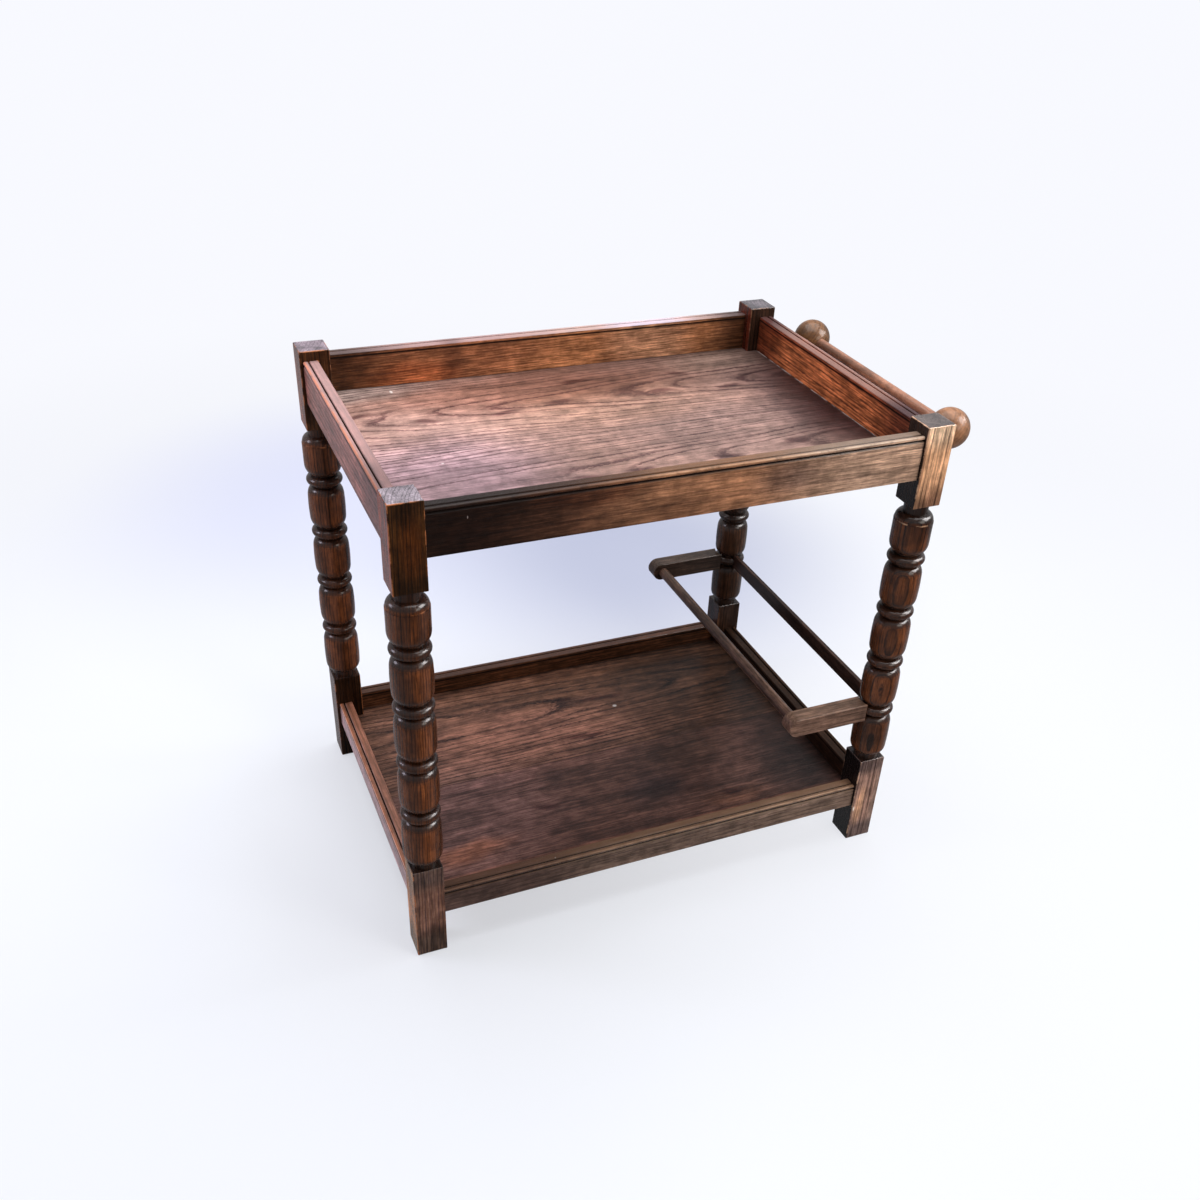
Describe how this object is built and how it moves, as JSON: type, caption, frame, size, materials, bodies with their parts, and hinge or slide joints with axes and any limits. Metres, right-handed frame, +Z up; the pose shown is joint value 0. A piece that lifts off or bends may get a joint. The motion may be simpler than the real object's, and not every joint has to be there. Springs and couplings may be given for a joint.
{
  "type": "bar cart",
  "caption": "Dark oak bar cart with a sunk top tray and a lower tray on turned bobbin posts, a rod handle held by wooden balls at one end and a bottle rack over the lower tray",
  "frame": {"origin": "on the floor, under the middle of the whole cart's box", "axes": "+X along the cart towards the handle and the bottle rack, +Y from the front to the back, +Z up"},
  "size_m": [0.8716, 0.5608, 0.737],
  "materials": {
    "post_oak": "semi-gloss dark oak with worn, paler arrises",
    "rail_oak": "semi-gloss dark oak, moulding worn to tan",
    "board_oak": "semi-gloss dark oak with cathedral grain and a pale worn patch",
    "handle_oak": "semi-gloss brown oak, turned and hand-worn",
    "rack_oak": "semi-gloss dark oak"
  },
  "bodies": {
    "root": {"post_front_left": "post_oak", "post_front_right": "post_oak", "post_back_left": "post_oak", "post_back_right": "post_oak", "upper_rail_front": "rail_oak", "upper_rail_right": "rail_oak", "upper_rail_back": "rail_oak", "upper_rail_left": "rail_oak", "lower_rail_front": "rail_oak", "lower_rail_right": "rail_oak", "lower_rail_back": "rail_oak", "lower_rail_left": "rail_oak", "upper_board": "board_oak", "lower_board": "board_oak", "handle_pillar_front": "handle_oak", "handle_pillar_back": "handle_oak", "handle_ball_front": "handle_oak", "handle_ball_back": "handle_oak", "handle_rod": "handle_oak", "rack_arm_front": "rack_oak", "rack_arm_back": "rack_oak", "rack_rod": "rack_oak", "rack_slat": "rack_oak"}
  },
  "joints": []
}
